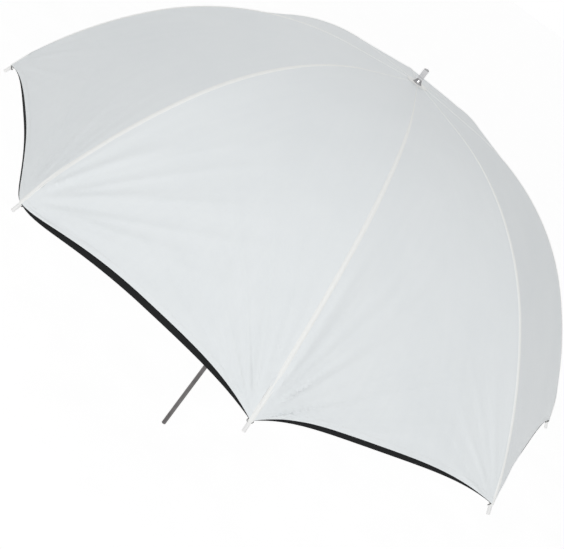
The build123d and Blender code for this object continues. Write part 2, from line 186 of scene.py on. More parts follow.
def band_point(u, share, depth):
    """Point of the straight band between a rib and the next."""
    corner_drop = CORNER_DROP * smooth((u - CURVE_LENGTH) / CORNER_DROP_LENGTH + 1)
    r, z = dome(u, depth + corner_drop)
    reach = share * r * math.sin(HALF_GORE)
    fold = np.hypot(reach, RIDGE_ROUND)
    return np.stack([r - fold * math.sin(HALF_GORE), reach * math.cos(HALF_GORE), z], axis=-1)


# ---- small mesh tools -----------------------------------------------------------------------
SHARP_ANGLE = math.radians(50)
TUBE_SIDES = 8
TUBE_END = 0.5              # how far a tube's end stands out, in radii
TUBE_START = (0.31, 0.17, 0.93)     # the first ring starts square to this, which no tube runs along
HAIR = 0.00001              # keeps two faces apart that would share one place


def new_piece(name, points, faces, materials):
    """Smooth-shaded mesh object."""
    mesh = bpy.data.meshes.new(name)
    mesh.from_pydata(points.tolist(), [], faces)
    for material in materials:
        mesh.materials.append(material)
    mesh.polygons.foreach_set("use_smooth", np.ones(len(mesh.polygons), bool))
    mesh.update()
    piece = bpy.data.objects.new(name, mesh)
    bpy.context.scene.collection.objects.link(piece)
    return piece


def grid_faces(rows, columns, start=0, flip=False):
    """Quads of one grid of points. Both ways round are split along the same diagonal."""
    corner = (np.arange(rows - 1)[:, None] * columns + np.arange(columns - 1)[None, :]).ravel() + start
    quads = np.stack([corner, corner + columns, corner + columns + 1, corner + 1], axis=1)
    return quads[:, [0, 3, 2, 1]] if flip else quads


def grid_rim(rows, columns):
    """Indices of the points round a grid's edge, in order."""
    return np.concatenate([
        np.arange(columns - 1),
        np.arange(rows - 1) * columns + columns - 1,
        rows * columns - 1 - np.arange(columns - 1),
        (rows - 1 - np.arange(rows - 1)) * columns,
    ])


def shell(name, outer, inner, materials, uv):
    """Closed thin shell between two equal grids of points. The second material is the inner face's."""
    rows, columns = outer.shape[:2]
    count = rows * columns
    around = grid_rim(rows, columns)
    after = np.roll(around, -1)
    rim = np.stack([around, after, after + count, around + count], axis=1)
    top = grid_faces(rows, columns)
    bottom = grid_faces(rows, columns, start=count, flip=True)
    points = np.concatenate([outer.reshape(-1, 3), inner.reshape(-1, 3)])
    piece = new_piece(name, points, np.concatenate([top, bottom, rim]).tolist(), materials)
    if len(materials) > 1:
        face_material = np.zeros(len(piece.data.polygons), np.int32)
        face_material[len(top):len(top) + len(bottom)] = 1
        piece.data.polygons.foreach_set("material_index", face_material)
    set_uv(piece.data, np.concatenate([uv.reshape(-1, 2)] * 2))
    piece.data.set_sharp_from_angle(angle=SHARP_ANGLE)
    return piece


def set_uv(mesh, uv):
    """Gives each point of the mesh its pair of cloth coordinates."""
    loop_vertex = np.empty(len(mesh.loops), np.int32)
    mesh.loops.foreach_get("vertex_index", loop_vertex)
    layer = mesh.uv_layers.new(name="cloth")
    layer.data.foreach_set("uv", np.asarray(uv, np.float32)[loop_vertex].ravel())


def ring_faces(rings, sides):
    """Quads between rings of points that follow one another."""
    faces = []
    for start in range(0, (rings - 1) * sides, sides):
        for k in range(sides):
            m = (k + 1) % sides
            faces.append([start + k, start + m, start + sides + m, start + sides + k])
    return faces


def tube(line, radius):
    """Points and faces of a round tube along a line of points, with a low point on each end."""
    along = np.gradient(line, axis=0)
    along /= np.linalg.norm(along, axis=1)[:, None]
    turn = np.linspace(0, 2 * math.pi, TUBE_SIDES, endpoint=False)[:, None]
    normal = np.cross(along[0], TUBE_START)
    rings = []
    for direction, centre in zip(along, line):
        normal = normal - direction * (normal @ direction)
        normal /= np.linalg.norm(normal)
        across = np.cross(direction, normal)
        rings.append(centre + radius * (np.cos(turn) * normal + np.sin(turn) * across))
    first_end = line[:1] - along[:1] * radius * TUBE_END
    last_end = line[-1:] + along[-1:] * radius * TUBE_END
    points = np.concatenate([*rings, first_end, last_end])
    first, last = len(points) - 2, len(points) - 1
    last_ring = (len(line) - 1) * TUBE_SIDES
    faces = ring_faces(len(line), TUBE_SIDES)
    for k in range(TUBE_SIDES):
        m = (k + 1) % TUBE_SIDES
        faces.append([first, m, k])
        faces.append([last, last_ring + k, last_ring + m])
    return points, faces


def joined(name, parts, material):
    """One object from several (points, faces) pairs."""
    points, faces, start = [], [], 0
    for part_points, part_faces in parts:
        points.append(part_points)
        faces += [[index + start for index in face] for face in part_faces]
        start += len(part_points)
    return new_piece(name, np.concatenate(points), faces, [material])


# ---- materials ------------------------------------------------------------------------------
class Nodes:
    """Short calls for the nodes of a material or a world. Its shader is the node named last_node."""

    def __init__(self, owner, last_node):
        owner.use_nodes = True
        self.owner = owner
        self.tree = owner.node_tree
        self.shader = self.tree.nodes[last_node]

    def add(self, kind, **settings):
        node = self.tree.nodes.new(kind)
        for key, value in settings.items():
            if hasattr(node, key):
                setattr(node, key, value)
            else:
                node.inputs[key.replace("_", " ")].default_value = value
        return node

    def join(self, source, target):
        self.tree.links.new(source, target)

    def place(self, kind):
        return self.add("ShaderNodeTexCoord").outputs[kind]

    def split(self, vector):
        node = self.add("ShaderNodeSeparateXYZ")
        self.join(vector, node.inputs[0])
        return node.outputs

    def math(self, operation, a, b=None, clamp=False):
        node = self.add("ShaderNodeMath", operation=operation, use_clamp=clamp)
        for socket, value in zip(node.inputs, (a, b)):
            if value is None:
                continue
            if isinstance(value, (int, float)):
                socket.default_value = value
            else:
                self.join(value, socket)
        return node.outputs[0]

    def noise(self, vector, scale=1.0, detail=3.0, roughness=0.5):
        node = self.add("ShaderNodeTexNoise", Scale=scale, Detail=detail, Roughness=roughness)
        self.join(vector, node.inputs["Vector"])
        return node.outputs["Fac"]

    def stretched(self, vector, scale):
        node = self.add("ShaderNodeVectorMath", operation="MULTIPLY")
        self.join(vector, node.inputs[0])
        node.inputs[1].default_value = scale
        return node.outputs[0]

    def ramp(self, factor, *stops):
        node = self.add("ShaderNodeValToRGB")
        elements = node.color_ramp.elements
        while len(elements) < len(stops):
            elements.new(0.5)
        for element, (place, colour) in zip(elements, stops):
            element.position = place
            element.color = (*colour, 1.0)
        self.join(factor, node.inputs["Fac"])
        return node.outputs["Color"]

    def bump(self, height, distance, strength, after=None):
        node = self.add("ShaderNodeBump", Strength=strength, Distance=distance)
        self.join(height, node.inputs["Height"])
        if after is not None:
            self.join(after, node.inputs["Normal"])
        return node.outputs["Normal"]

    def set_colour(self, factor, dark, light, low=0.3, high=0.7):
        """The base colour goes from dark to light as the factor goes from low to high."""
        self.join(self.ramp(factor, (low, dark), (high, light)), self.shader.inputs["Base Color"])

    def set_roughness(self, factor, low, high):
        node = self.add("ShaderNodeMapRange", To_Min=low, To_Max=high)
        self.join(factor, node.inputs["Value"])
        self.join(node.outputs["Result"], self.shader.inputs["Roughness"])

    def set_normal(self, normal):
        self.join(normal, self.shader.inputs["Normal"])

    def set(self, **values):
        for key, value in values.items():
            self.shader.inputs[key.replace("_", " ")].default_value = value


def new_material(name):
    return Nodes(bpy.data.materials.new(name), "Principled BSDF")


def weave(n, place, step):
    """Height of a plain weave: threads that pass over and under each other, one step apart."""
    turns = 2 * math.pi / step
    axes = n.split(place)
    across = n.math("SINE", n.math("MULTIPLY", axes["X"], turns))
    along = n.math("SINE", n.math("MULTIPLY", axes["Y"], turns))
    return n.math("MULTIPLY", across, along)


def cloth_material(name, light, dark, roughness, sheen):
    """Woven nylon: its weave, fine creases and a slow change of tone. UV is in metres across and along."""
    n = new_material(name)
    place, spot = n.place("UV"), n.place("Object")
    tone = n.noise(spot, scale=9.0, detail=4.0, roughness=0.55)
    streak = n.noise(n.stretched(place, (90.0, 7.0, 1.0)))
    streak_share = 0.3
    mixed = n.math(
        "ADD",
        n.math("MULTIPLY", tone, 1 - streak_share),
        n.math("MULTIPLY", streak, streak_share),
    )
    n.set_colour(mixed, dark, light)
    n.set_roughness(streak, roughness - 0.06, roughness + 0.06)
    creases = n.noise(n.stretched(spot, (24.0, 24.0, 16.0)), detail=5.0, roughness=0.55)
    soft = n.bump(creases, distance=0.0030, strength=0.35)
    crumple = n.noise(spot, scale=130.0, roughness=0.6)
    fine = n.bump(crumple, distance=0.0004, strength=0.35, after=soft)
    threads = weave(n, place, step=0.0006)
    n.set_normal(n.bump(threads, distance=0.00004, strength=0.5, after=fine))
    n.set(Sheen_Weight=sheen, Sheen_Roughness=0.5, Specular_IOR_Level=0.3)
    return n.owner


def silver_material(name, light, dark):
    """Metallised cloth: soft bright reflection broken up by its weave and small creases."""
    n = new_material(name)
    place, spot = n.place("UV"), n.place("Object")
    tone = n.noise(spot, scale=14.0, detail=5.0, roughness=0.6)
    n.set_colour(tone, dark, light)
    n.set_roughness(tone, 0.34, 0.46)
    creases = n.bump(n.noise(spot, scale=38.0, detail=5.0, roughness=0.6), distance=0.0016, strength=0.5)
    threads = weave(n, place, step=0.0007)
    n.set_normal(n.bump(threads, distance=0.00006, strength=0.6, after=creases))
    n.set(Metallic=0.85)
    return n.owner


def metal_material(name, light, dark, roughness, grain):
    """Metal with fine drawing lines or polishing haze and slightly worn tone. grain stretches the lines."""
    n = new_material(name)
    spot = n.place("Object")
    lines = n.noise(n.stretched(spot, grain), detail=4.0, roughness=0.6)
    haze = n.noise(spot, scale=60.0)
    n.set_colour(n.math("MULTIPLY", n.math("ADD", lines, haze), 0.5), dark, light, low=0.35, high=0.65)
    n.set_roughness(lines, roughness * 0.7, roughness * 1.4)
    n.set_normal(n.bump(lines, distance=0.00004, strength=0.5))
    n.set(Metallic=1.0)
    return n.owner


def plastic_material(name, light, dark, roughness):
    """Moulded plastic: fine orange-peel, faint flow marks and handling haze."""
    n = new_material(name)
    spot = n.place("Object")
    flow = n.noise(n.stretched(spot, (120.0, 120.0, 45.0)), detail=4.0)
    n.set_colour(flow, dark, light, low=0.35)
    n.set_roughness(flow, roughness - 0.07, roughness + 0.08)
    peel = n.noise(spot, scale=1500.0, detail=2.0)
    n.set_normal(n.bump(peel, distance=0.00004, strength=0.5))
    return n.owner


def thread_material(name, light, dark):
    """Twisted sewing thread."""
    n = new_material(name)
    twist = n.noise(n.place("Object"), scale=1800.0, detail=2.0)
    n.set_colour(twist, dark, light)
    n.set_normal(n.bump(twist, distance=0.0001, strength=0.6))
    n.set(Roughness=0.75, Sheen_Weight=0.3)
    return n.owner


def grey(level):
    return (level, level, level)


CANOPY = cloth_material(
    "canopy_cloth", light=(0.785, 0.814, 0.826), dark=(0.752, 0.784, 0.800), roughness=0.55, sheen=0.08
)
SEAM = cloth_material(
    "seam_cloth", light=(0.865, 0.872, 0.858), dark=(0.835, 0.845, 0.835), roughness=0.6, sheen=0.08
)
LINER_BLACK = cloth_material(
    "liner_black", light=(0.007, 0.008, 0.009), dark=(0.004, 0.0045, 0.005), roughness=0.75, sheen=0.0
)
LINER_SILVER = silver_material("liner_silver", light=(0.65, 0.66, 0.67), dark=(0.57, 0.58, 0.59))
WHITE_THREAD = thread_material("white_thread", light=(0.88, 0.88, 0.87), dark=(0.7, 0.7, 0.69))
BLACK_THREAD = thread_material("black_thread", light=(0.03, 0.03, 0.032), dark=(0.01, 0.01, 0.011))
ROD_STEEL = metal_material(
    "rod_steel",
    light=(0.62, 0.63, 0.65),
    dark=(0.45, 0.46, 0.48),
    roughness=0.28,
    grain=(300.0, 300.0, 40.0),
)
SHAFT_METAL = metal_material(
    "shaft_metal",
    light=(0.20, 0.19, 0.19),
    dark=(0.12, 0.115, 0.115),
    roughness=0.30,
    grain=(700.0, 700.0, 12.0),
)
CHROME = metal_material(
    "ferrule_chrome",
    light=(0.66, 0.66, 0.67),
    dark=(0.54, 0.54, 0.55),
    roughness=0.08,
    grain=(200.0, 200.0, 900.0),
)
PIN_STEEL = metal_material(
    "pin_steel",
    light=(0.68, 0.68, 0.69),
    dark=(0.52, 0.52, 0.54),
    roughness=0.25,
    grain=(500.0, 500.0, 500.0),
)
BLACK_PLASTIC = plastic_material(
    "black_plastic", light=(0.035, 0.035, 0.037), dark=(0.02, 0.02, 0.022), roughness=0.42
)
TIP_PLASTIC = plastic_material("tip_plastic", light=(0.86, 0.86, 0.85), dark=grey(0.78), roughness=0.45)

NODE_MATERIALS = {
    "shaft": SHAFT_METAL,
    "shaft_plug": BLACK_PLASTIC,
    "stop_pin": PIN_STEEL,
    "ferrule": CHROME,
    "crown": BLACK_PLASTIC,
    "crown_wire": PIN_STEEL,
    "runner": BLACK_PLASTIC,
    "runner_wire": PIN_STEEL,
    "catch_spring": PIN_STEEL,
}
for rib_number in range(1, RIB_COUNT + 1):
    NODE_MATERIALS[f"rib_{rib_number}"] = ROD_STEEL
    NODE_MATERIALS[f"stretcher_{rib_number}"] = ROD_STEEL
    NODE_MATERIALS[f"rivet_{rib_number}"] = PIN_STEEL
    NODE_MATERIALS[f"rib_tip_{rib_number}"] = TIP_PLASTIC


def paint_nodes():
    """Gives every CAD node that stays its material."""
    for node, material in NODE_MATERIALS.items():
        for material_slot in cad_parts[node].material_slots:
            material_slot.material = material


# ---- wrinkles -------------------------------------------------------------------------------
SEEDS = {"gore": 4100, "pucker": 5200, "stitches": 6300, "cuff": 7400, "cap": 88}

SLACK_WAVES = 5
SLACK_WAVE = 0.3            # height of one wave, as a share of SLACK
SLACK_ALONG = (7, 22)       # how fast the waves run along a gore, in radians per metre
SLACK_ACROSS = (-9, 9)      # the same across it
SLACK_FULL_U = 0.35         # the slack grows from the top to this distance along the curve

CREST_SHARPNESS = 2.6
FAN_RAYS = (15.0, 27.0, 43.0)       # waves round a tip, in radians of wave for one of angle
FAN_BEND = 2                # how far the rays may bend
FAN_BEND_PACE = 6
FAN_LEVEL = 17.0            # the finer the rays, the lower
FAN_LEVEL_OFFSET = 6
FAN_NEAR = 0.06             # the wrinkles grow from the tip over this distance
FAN_FADE_POWER = 1.8
FAN_SEAM_ANGLE = 0.10       # they lie flat beside the seam, within this angle
FAN_FAR_SHARE = 0.8         # and fade out this far before the next rib


def draws(kind, number=0):
    """Random numbers for one piece, the same each run."""
    return np.random.default_rng(SEEDS[kind] + number)


def ridge(phase):
    """A wave with narrow crests and broad hollows, as tight cloth has. It is never negative."""
    return np.exp(CREST_SHARPNESS * (np.sin(phase) - 1))


def slack(share, u, chance):
    """Broad soft waves across a gore, held down at its ribs."""
    width = half_chord(u)
    total = np.zeros(np.broadcast(share, u).shape)
    for _ in range(SLACK_WAVES):
        along = chance.uniform(*SLACK_ALONG)
        across = chance.uniform(*SLACK_ACROSS)
        shift = chance.uniform(0, 2 * math.pi)
        total = total + np.sin(along * u + across * share * width + shift)
    pinned = np.sin(np.clip(share, 0, 2) * math.pi / 2)
    return SLACK * SLACK_WAVE * total * pinned * smooth(u / SLACK_FULL_U)


def tip_fan(share, u, height, length, chance):
    """Wrinkles that fan out from a rib's tip. share is 0 on that rib."""
    across = np.maximum(share, 0) * half_chord(u)
    reach = np.hypot(across, CURVE_LENGTH - u)
    angle = np.arctan2(across, CURVE_LENGTH - u + 1e-9)
    fan = np.zeros(np.broadcast(share, u).shape)
    for rays in FAN_RAYS:
        shift = chance.uniform(0, 2 * math.pi)
        bend = chance.uniform(-FAN_BEND, FAN_BEND)
        level = FAN_LEVEL / (rays + FAN_LEVEL_OFFSET)
        fan = fan + ridge(rays * angle + shift + bend * reach * FAN_BEND_PACE) * level
    fade = smooth(reach / FAN_NEAR) * np.exp(-(reach / length) ** FAN_FADE_POWER)
    flat_by_seams = smooth(angle / FAN_SEAM_ANGLE) * smooth((2 - share) / FAN_FAR_SHARE)
    return height * fan * fade * flat_by_seams


def wrinkle(gore, share, u, layer):
    """How far the cloth stands out at a place in a gore. share is 0 on its first rib and 2 on its last."""
    chance = draws("gore", gore)
    total = slack(share, u, chance)
    for rib, rib_share in ((gore, share), (gore % RIB_COUNT + 1, 2 - share)):
        height = LAYER_WRINKLE[layer] * TIP_WRINKLE.get((gore, rib), TIP_WRINKLE_USUAL)
        length = WRINKLE_REACH.get(rib, WRINKLE_REACH_USUAL)
        total = total + tip_fan(rib_share, u, height, length, chance)
    return total


def gore_before(rib):
    """The gore on a rib's clockwise side. The one on its other side has the rib's own number."""
    return (rib - 2) % RIB_COUNT + 1


def rib_wrinkle(number, share, u, layer="canopy"):
    """The same, for a place measured from a rib: share is negative on its clockwise side."""
    ahead_part = wrinkle(number, np.abs(share), u, layer)
    behind_part = wrinkle(gore_before(number), 2 - np.abs(share), u, layer)
    return np.where(share >= 0, ahead_part, behind_part)


# ---- the gores ------------------------------------------------------------------------------
PETAL_ROWS, PETAL_COLUMNS = 160, 97
LINER_ROWS, LINER_COLUMNS = 120, 81


def closing_share(u):
    """Share at which two neighbours' cloth meets, half-way between their ribs, when the frame is folded."""
    r, z = dome(u)
    pivot_r, pivot_z = dome(PIVOT_U, RIB_DEPTH)
    folded_r = pivot_r + (r - pivot_r) * math.cos(FOLD_ANGLE) + (z - pivot_z) * math.sin(FOLD_ANGLE)
    sideways = r * math.sin(HALF_GORE) * math.cos(HALF_GORE) * KEEP
    inward = r * math.sin(HALF_GORE) ** 2 * math.cos(FOLD_ANGLE)
    return folded_r * math.tan(HALF_GORE) / (sideways + inward * math.tan(HALF_GORE))


def petal_edge(u, winged):
    """How far one petal reaches, as a share of the half-gore's width."""
    lap = 1 + LAP / half_chord(u)
    if not winged:
        return lap
    return np.clip(closing_share(u) * WING_MARGIN, lap, WING_LIMIT)


def fall_shape(w):
    """Rises from 0 on the rib to 1 at FALL_PLACE and dies away."""
    return w / FALL_PLACE * np.exp(1 - w / FALL_PLACE)


def gore_hem(gore, w, layer):
    """Distance along the curve to a gore's hem. w runs from 0 on its first rib to 2 on its next."""
    sag, fullness, fall = GORE_HEMS.get((gore, layer), USUAL_HEMS[layer])
    arch = 1 - np.abs(1 - w) ** np.where(w < 1, *fullness)
    return CURVE_LENGTH - sag * arch + fall[0] * fall_shape(w) + fall[1] * fall_shape(2 - w)


def hem_u(number, share, layer):
    """The same for a place measured from a rib, and level beyond mid-gore."""
    own = np.clip(np.abs(share), 0, 1)
    ahead_part = gore_hem(number, own, layer)
    behind_part = gore_hem(gore_before(number), 2 - own, layer)
    return np.where(share >= 0, ahead_part, behind_part)


def petal_grid(number, rows, columns, layer, base_depth, winged):
    """Outer and inner points and the cloth's own coordinates for the cloth that one rib carries."""
    across = np.linspace(-1, 1, columns)[None, :]
    down = np.linspace(0, 1, rows)[:, None]
    middle_u = CLOTH_TOP_U + (hem_u(number, np.sign(across), layer) - CLOTH_TOP_U) * down
    share = across * petal_edge(middle_u, winged)
    u = CLOTH_TOP_U + (hem_u(number, share, layer) - CLOTH_TOP_U) * down
    past_middle = (np.abs(share) - 1) * half_chord(u)
    dip = DIP * smooth(past_middle / (2 * DIP_WIDTH) + 0.5)
    depth = base_depth + dip - rib_wrinkle(number, share, u, layer)
    uv = np.stack([share * half_chord(u), u], axis=-1)
    azimuth = rib_azimuth(number)
    outer = turned(cloth_point(u, share, depth), azimuth)
    inner = turned(cloth_point(u, share, depth + CLOTH_T), azimuth)
    return outer, inner, uv


def fold_with(piece, number):
    """The piece rides on its rib, with a mesh of its own."""
    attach(piece, f"rib_{number}")
    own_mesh(piece)


def declare_sheet():
    """Works out a gore's full width at its corners, and does nothing more with it."""
    width = 2 * half_chord(CURVE_LENGTH).item()


def add_canopy(number):
    outer, inner, uv = petal_grid(number, PETAL_ROWS, PETAL_COLUMNS, "canopy", 0.0, True)
    piece = shell(f"canopy_{number}", outer, inner, [CANOPY], uv)
    fold_with(piece, number)
    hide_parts(f"canopy_panel_{number}")
    declare_sheet()


def add_liner(number):
    outer, inner, uv = petal_grid(number, LINER_ROWS, LINER_COLUMNS, "liner", LINER_DEPTH, False)
    piece = shell(f"liner_{number}", outer, inner, [LINER_BLACK, LINER_SILVER], uv)
    fold_with(piece, number)
    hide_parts(f"liner_panel_{number}")
    declare_sheet()


# ---- seams, hems and stitches ---------------------------------------------------------------
SEAM_ROWS, SEAM_COLUMNS = 240, 17
SEAM_PAST_CORNER = 0.001
SEAM_WIDENS_FROM = 0.02     # the seam widens from this distance along the curve
SEAM_WIDENS_OVER = 0.34     # over this length
SEAM_EDGE = 0.22            # it rises over this share of its half-width
STITCH_SINK = 0.45          # how far the stitches pull it down, as a share of its height
STITCH_SINK_WIDTH = 0.10
PUCKER = 0.00014
PUCKER_PITCHES = (0.0083, 0.0117, 0.019)

HEM_ROWS, HEM_COLUMNS = 9, 141
HEM_LIFT = 0.00022
HEM_EDGE = 0.0003           # the fold stands this far beyond the cloth's edge
HEM_STITCH = 0.0070         # from the hem's edge to its row of stitches
HEM_RIPPLE = 0.12           # how uneven a hem's thickness is
HEM_RIPPLE_PACE = 1.3
HEM_PUCKER = 20             # a hem's ripples are those of a seam with a number this much higher
HEM_SWELL_IN = 0.15         # shares of the hem's width over which it swells
HEM_SWELL_OUT = 0.08
HEM_EDGE_SWELL = 0.02       # so that it has some thickness at its very edge


def seam_width(u):
    widening = smooth((u - SEAM_WIDENS_FROM) / SEAM_WIDENS_OVER)
    return SEAM_WIDTH_AT_TOP + (SEAM_WIDTH - SEAM_WIDTH_AT_TOP) * widening


def seam_share(u, across):
    """A place across the seam, -1 to 1, as a share of the half-gore."""
    return across * seam_width(u) / 2 / half_chord(u)


def pucker(number, u):
    """Small uneven ripples that the thread's pull leaves along a seam."""
    chance = draws("pucker", number)
    total = 0
    for pitch in PUCKER_PITCHES:
        total = total + np.sin(2 * math.pi * u / pitch + chance.uniform(0, 2 * math.pi))
    return PUCKER * total / len(PUCKER_PITCHES)


def seam_lift(number, u, across):
    """Height of the felled seam over the cloth. across runs from -1 to 1 over the seam's width."""
    away = np.abs(across)
    body = smooth((1 - away) / SEAM_EDGE)
    sewn_in = STITCH_SINK * np.exp(-((away - SEAM_STITCH) / STITCH_SINK_WIDTH) ** 2)
    return (SEAM_LIFT + pucker(number, u)) * body * (1 - sewn_in)


def seam_top(number, u, across):
    """Point on the seam's outer face."""
    share = seam_share(u, across)
    return cloth_point(u, share, -rib_wrinkle(number, share, u) - seam_lift(number, u, across))


def add_seam(number):
    """The felled seam over a rib: the edges of two gores, turned in and sewn down."""
    u = np.linspace(CLOTH_TOP_U, CURVE_LENGTH + SEAM_PAST_CORNER, SEAM_ROWS)[:, None]
    across = np.linspace(-1, 1, SEAM_COLUMNS)[None, :]
    share = seam_share(u, across)
    bulge = rib_wrinkle(number, share, u)
    outer = cloth_point(u, share, -bulge - seam_lift(number, u, across) - HAIR)
    inner = cloth_point(u, share, -bulge + CLOTH_T)
    uv = np.stack([share * half_chord(u), u + 0 * share], axis=-1)
    azimuth = rib_azimuth(number)
    piece = shell(f"seam_{number}", turned(outer, azimuth), turned(inner, azimuth), [SEAM], uv)
    fold_with(piece, number)


def hem_grid(number, layer, depth, side_lift):
    """One face of a folded hem, from its edge to its upper side."""
    share = np.linspace(-1, 1, HEM_COLUMNS)[None, :]
    inward = np.linspace(0, 1, HEM_ROWS)[:, None]
    u = hem_u(number, share, layer) + HEM_EDGE - (HEM_WIDTH + HEM_EDGE) * inward
    along = share * half_chord(CURVE_LENGTH) * HEM_RIPPLE_PACE
    ripple = HEM_RIPPLE * pucker(number + HEM_PUCKER, along) / PUCKER
    swell = smooth((1 - inward) / HEM_SWELL_IN) * smooth((inward + HEM_EDGE_SWELL) / HEM_SWELL_OUT)
    lift = side_lift * (1 + ripple) * swell
    bulge = rib_wrinkle(number, share, u, layer)
    uv = np.stack([share * half_chord(u), u], axis=-1)
    return turned(cloth_point(u, share, depth - bulge - lift), rib_azimuth(number)), uv


def add_hem(number, layer, depth, material):
    outer, uv = hem_grid(number, layer, depth - HAIR, HEM_LIFT)
    inner, _ = hem_grid(number, layer, depth + CLOTH_T + HAIR, -HEM_LIFT)
    piece = shell(f"{layer}_hem_{number}", outer[::-1], inner[::-1], [material], uv[::-1])
    fold_with(piece, number)


STITCH_SIDES = 6
# Rings of one stitch: place along it in stitch lengths, then radius and height in thread radii.
STITCH_RINGS = ((-0.5, 0.35, -0.6), (-0.25, 1.0, 0.2), (0.25, 1.0, 0.2), (0.5, 0.35, -0.6))
SEAM_STITCHES_FROM = 0.060
SEAM_STITCHES_END = 0.004   # they stop this far before the corner
STITCH_UNEVEN = 0.05        # how much the rows wander, as a share of their place across the seam
HEM_STITCHES_END = 0.97     # the hem's row ends at this share of the half-gore
NEAR_U = 0.0001             # short steps, to find which way the cloth runs
NEAR_ACROSS = 0.05
NEAR_SHARE = 0.001


def stitches(name, places, ahead, out, material):
    """Rows of short round stitches, each at its place, along ahead and with its back towards out."""
    ahead = ahead / np.linalg.norm(ahead, axis=1)[:, None]
    out = out / np.linalg.norm(out, axis=1)[:, None]
    side = np.cross(ahead, out)
    turn = np.linspace(0, 2 * math.pi, STITCH_SIDES, endpoint=False)
    circle = np.cos(turn)[None, :, None] * side[:, None, :] + np.sin(turn)[None, :, None] * out[:, None, :]
    rings = []
    for along, radius, lift in STITCH_RINGS:
        centre = places + ahead * along * STITCH_LENGTH + out * lift * THREAD_R
        rings.append(centre[:, None, :] + radius * THREAD_R * circle)
    per_stitch = STITCH_SIDES * len(STITCH_RINGS)
    caps = [list(range(STITCH_SIDES))[::-1], list(range(per_stitch - STITCH_SIDES, per_stitch))]
    one_stitch = ring_faces(len(STITCH_RINGS), STITCH_SIDES) + caps
    faces = []
    for start in range(0, len(places) * per_stitch, per_stitch):
        faces += [[index + start for index in face] for face in one_stitch]
    return new_piece(name, np.stack(rings, axis=1).reshape(-1, 3), faces, [material])


def seam_row(number, side, chance):
    """Places of the stitches along one side of a seam, with the ways ahead and out."""
    u = np.arange(SEAM_STITCHES_FROM, CURVE_LENGTH - SEAM_STITCHES_END, STITCH_STEP)
    across = side * SEAM_STITCH * (1 + STITCH_UNEVEN * chance.standard_normal(len(u)))
    here = seam_top(number, u, across)
    along = seam_top(number, u + NEAR_U, across) - here
    beside = seam_top(number, u, across + NEAR_ACROSS) - here
    return here, along, np.cross(beside, along)


def hem_row(number):
    """The same along the white hem."""
    share = np.arange(-HEM_STITCHES_END, HEM_STITCHES_END, STITCH_STEP / half_chord(CURVE_LENGTH).item())

    def on_hem(share_now, inset):
        u = hem_u(number, share_now, "canopy") - inset
        return cloth_point(u, share_now, -rib_wrinkle(number, share_now, u) - HEM_LIFT)

    here = on_hem(share, HEM_STITCH)
    along = on_hem(share + NEAR_SHARE, HEM_STITCH) - here
    beside = on_hem(share, HEM_STITCH - NEAR_U) - here
    return here, along, np.cross(along, beside)


def add_stitches(number):
    """Two rows along the seam and one row along the white hem."""
    chance = draws("stitches", number)
    rows = [seam_row(number, -1, chance), seam_row(number, 1, chance), hem_row(number)]
    azimuth = rib_azimuth(number)
    places, ahead, out = (turned(np.concatenate(group), azimuth) for group in zip(*rows))
    piece = stitches(f"stitches_{number}", places, ahead, out, WHITE_THREAD)
    fold_with(piece, number)


# ---- what holds the cloth to the ribs -------------------------------------------------------
CUFF_ROWS, CUFF_COLUMNS = 17, 33
CUFF_LENGTH = 0.013
CUFF_PAST_CORNER = 0.002
CUFF_END_R = 0.00315
CUFF_ROOT_R = 0.00385
CUFF_TAPER = 0.8            # share of its length over which it narrows
CUFF_FOLDS = ((5, 0.00012), (9, 0.00008))       # number of folds round it, and their height
CUFF_FOLD_LOSS = 0.7        # how much of that is gone at its end
CUFF_ROOT_ROLL = (0.00025, 0.06)    # how far the edge rolls in, and over which share of the length
CUFF_END_ROLL = (0.0001, 0.08)
CUFF_CLEARANCE = 0.00004    # between the cuff and the tip cap
BINDING_TURNS = 4
BINDING_TURN_POINTS = 20
BINDING_THREAD_R = 0.00032
BINDING_LIFT = 0.00022      # its thread's centre line above the cuff
BINDING_BEFORE_CORNER = 0.0022
LOOP_R = 0.00055
LOOP_POINTS = 25
LOOP_FROM, LOOP_TO = math.radians(62), math.radians(298)
LOOP_LIFT = 0.0007          # above the cuff
LOOP_END_LIFT = 0.0004      # its ends stand out this much more
LOOP_PAST_CORNER = 0.0034
LOOP_PULL = 0.011           # its ends run this far back to the inner layer
TIE_PLACES = (0.140, 0.330, 0.455, 0.575)
TIE_TURNS = 3
TIE_POINTS = 54
TIE_THREAD_R = 0.00028
TIE_LEG_POINTS = 7
TIE_LEG_THREAD = 0.9        # the legs' thread is drawn a little thinner
TIE_LEG_ALONG = 0.0006      # the legs start this far to either side of the turns
TIE_LEG_ASIDE = 0.0008      # and go through the cloth this far from the rib's middle


def rib_axis_point(u, drop=0.0, aside=0.0):
    """Point near a rib's centre line in the rib's own frame, drop below it and aside of it."""
    r, z = dome(u, RIB_DEPTH + drop)
    return np.stack([r, aside + 0 * r, z], axis=-1)


def round_rib(u, radius, turn):
    """Point at a radius round a rib's centre line. turn is 0 on the outer side."""
    return rib_axis_point(u, drop=-radius * np.cos(turn), aside=radius * np.sin(turn))


def ride_rib(piece, number):
    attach(piece, f"rib_{number}")


def add_thread(name, number, lines, radius, material):
    """Thread along one or more lines, given in the rib's own frame. radius is one for each line."""
    azimuth = rib_azimuth(number)
    parts = [tube(turned(line, azimuth), line_radius) for line, line_radius in zip(lines, radius)]
    ride_rib(joined(f"{name}_{number}", parts, material), number)


def rolled_in(along, roll):
    """How far an edge is rolled in at a distance from it."""
    depth, share = roll
    return depth * (smooth(along / share) - 1)


